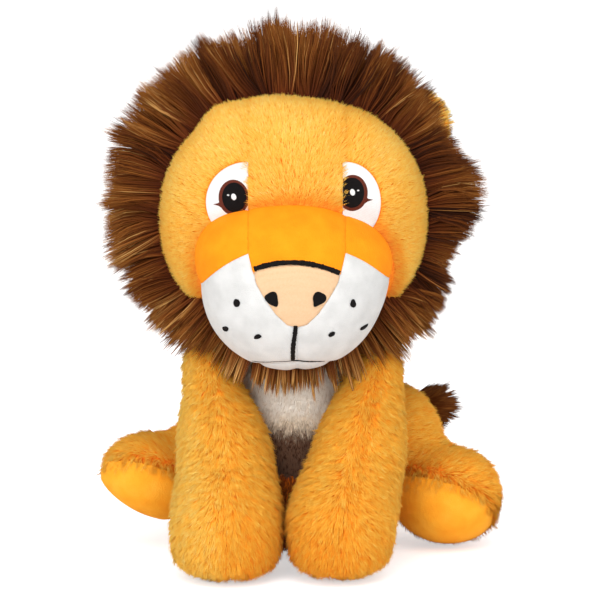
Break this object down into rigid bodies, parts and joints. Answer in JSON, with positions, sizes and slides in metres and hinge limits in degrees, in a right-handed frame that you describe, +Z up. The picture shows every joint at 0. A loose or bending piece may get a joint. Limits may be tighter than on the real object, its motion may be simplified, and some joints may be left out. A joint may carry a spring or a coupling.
{
  "type": "stuffed toy lion",
  "caption": "Seated stuffed lion with a long-pile mane, stitched face, swinging legs, folding ears and a head that turns and nods.",
  "frame": {"origin": "on the flat underside of the seat, under the neck's middle line", "axes": "+Z up, -Y the way the lion faces, +X to the lion's own left"},
  "size_m": [0.1813, 0.1548, 0.25],
  "materials": {
    "orange_plush": "long soft plush, matte",
    "orange_velboa": "short smooth velboa, matte",
    "white_velboa": "short smooth velboa, matte",
    "peach_thread": "satin stitching, soft sheen",
    "brown_fur": "long straight pile, soft sheen",
    "brown_thread": "satin stitching, soft sheen",
    "black_thread": "satin stitching, soft sheen",
    "white_thread": "satin stitching, soft sheen",
    "fibre_fill": "loose polyester fibre, matte",
    "bean_cloth": "woven lining, matte"
  },
  "bodies": {
    "torso": {"seat_panel": "orange_plush", "bib": "white_velboa", "body_panel_left": "orange_plush", "body_panel_right": "orange_plush", "bean_bag": "bean_cloth", "body_stuffing": "fibre_fill"},
    "neck": {"neck_stitch": "orange_plush"},
    "head": {"forehead_gusset": "orange_plush", "cheek_left": "orange_plush", "cheek_right": "orange_plush", "under_head_panel": "orange_plush", "mane_left": "brown_fur", "mane_right": "brown_fur", "head_stuffing": "fibre_fill", "beard": "brown_fur", "muzzle_bridge": "orange_velboa", "muzzle_side_left": "orange_velboa", "muzzle_side_right": "orange_velboa", "nose": "peach_thread", "lip_left": "white_velboa", "lip_right": "white_velboa", "chin": "white_velboa", "nose_top_stitch": "black_thread", "mouth_stitch": "black_thread", "nostril_left": "black_thread", "nostril_right": "black_thread", "whisker_dot_left_1": "black_thread", "whisker_dot_left_2": "black_thread", "whisker_dot_left_3": "black_thread", "whisker_dot_right_1": "black_thread", "whisker_dot_right_2": "black_thread", "whisker_dot_right_3": "black_thread", "eye_white_left": "white_thread", "eye_white_right": "white_thread", "iris_left": "brown_thread", "iris_right": "brown_thread", "pupil_left": "black_thread", "pupil_right": "black_thread", "glint_left": "white_thread", "glint_right": "white_thread"},
    "ear_left": {"ear_front_left": "orange_plush", "ear_back_left": "orange_plush"},
    "ear_right": {"ear_front_right": "orange_plush", "ear_back_right": "orange_plush"},
    "foreleg_left": {"foreleg_outer_left": "orange_plush", "foreleg_inner_left": "orange_plush", "foreleg_stuffing_left": "fibre_fill"},
    "foreleg_right": {"foreleg_outer_right": "orange_plush", "foreleg_inner_right": "orange_plush", "foreleg_stuffing_right": "fibre_fill"},
    "hindleg_left": {"hindleg_upper_left": "orange_plush", "hindleg_under_left": "orange_plush", "hindleg_stuffing_left": "fibre_fill", "sole_left": "orange_velboa"},
    "hindleg_right": {"hindleg_upper_right": "orange_plush", "hindleg_under_right": "orange_plush", "hindleg_stuffing_right": "fibre_fill", "sole_right": "orange_velboa"},
    "tail": {"tail": "orange_plush", "tail_tuft": "brown_fur"}
  },
  "joints": [
    {"name": "neck_turn", "type": "hinge", "parent": "torso", "child": "neck", "pos_m": [0, 0.002, 0.084], "axis": [0, 0, 1], "range_deg": [-15, 15], "stiffness_Nm_per_rad": 0.6},
    {"name": "head_nod", "type": "hinge", "parent": "neck", "child": "head", "pos_m": [0, 0.002, 0.084], "axis": [1, 0, 0], "range_deg": [-10, 4], "stiffness_Nm_per_rad": 1.2},
    {"name": "ear_fold_left", "type": "hinge", "parent": "head", "child": "ear_left", "pos_m": [0.05191, 0.017, 0.19251], "axis": [-0.6018, 0, 0.7986], "range_deg": [0, 25], "stiffness_Nm_per_rad": 0.05},
    {"name": "ear_fold_right", "type": "hinge", "parent": "head", "child": "ear_right", "pos_m": [-0.05191, 0.017, 0.19251], "axis": [-0.6018, 0, -0.7986], "range_deg": [0, 25], "stiffness_Nm_per_rad": 0.05},
    {"name": "foreleg_swing_left", "type": "hinge", "parent": "torso", "child": "foreleg_left", "pos_m": [0.036, -0.014, 0.084], "axis": [-1, 0, 0], "range_deg": [0, 20], "stiffness_Nm_per_rad": 0.6},
    {"name": "foreleg_swing_right", "type": "hinge", "parent": "torso", "child": "foreleg_right", "pos_m": [-0.036, -0.014, 0.084], "axis": [-1, 0, 0], "range_deg": [0, 20], "stiffness_Nm_per_rad": 0.6},
    {"name": "hindleg_swing_left", "type": "hinge", "parent": "torso", "child": "hindleg_left", "pos_m": [0.036, 0.024, 0.048], "axis": [-1, 0, 0], "range_deg": [0, 30], "stiffness_Nm_per_rad": 0.6},
    {"name": "hindleg_swing_right", "type": "hinge", "parent": "torso", "child": "hindleg_right", "pos_m": [-0.036, 0.024, 0.048], "axis": [-1, 0, 0], "range_deg": [0, 30], "stiffness_Nm_per_rad": 0.6},
    {"name": "tail_swing", "type": "hinge", "parent": "torso", "child": "tail", "pos_m": [0.008, 0.054, 0.024], "axis": [0, 0, 1], "range_deg": [0, 40], "stiffness_Nm_per_rad": 0.03}
  ]
}
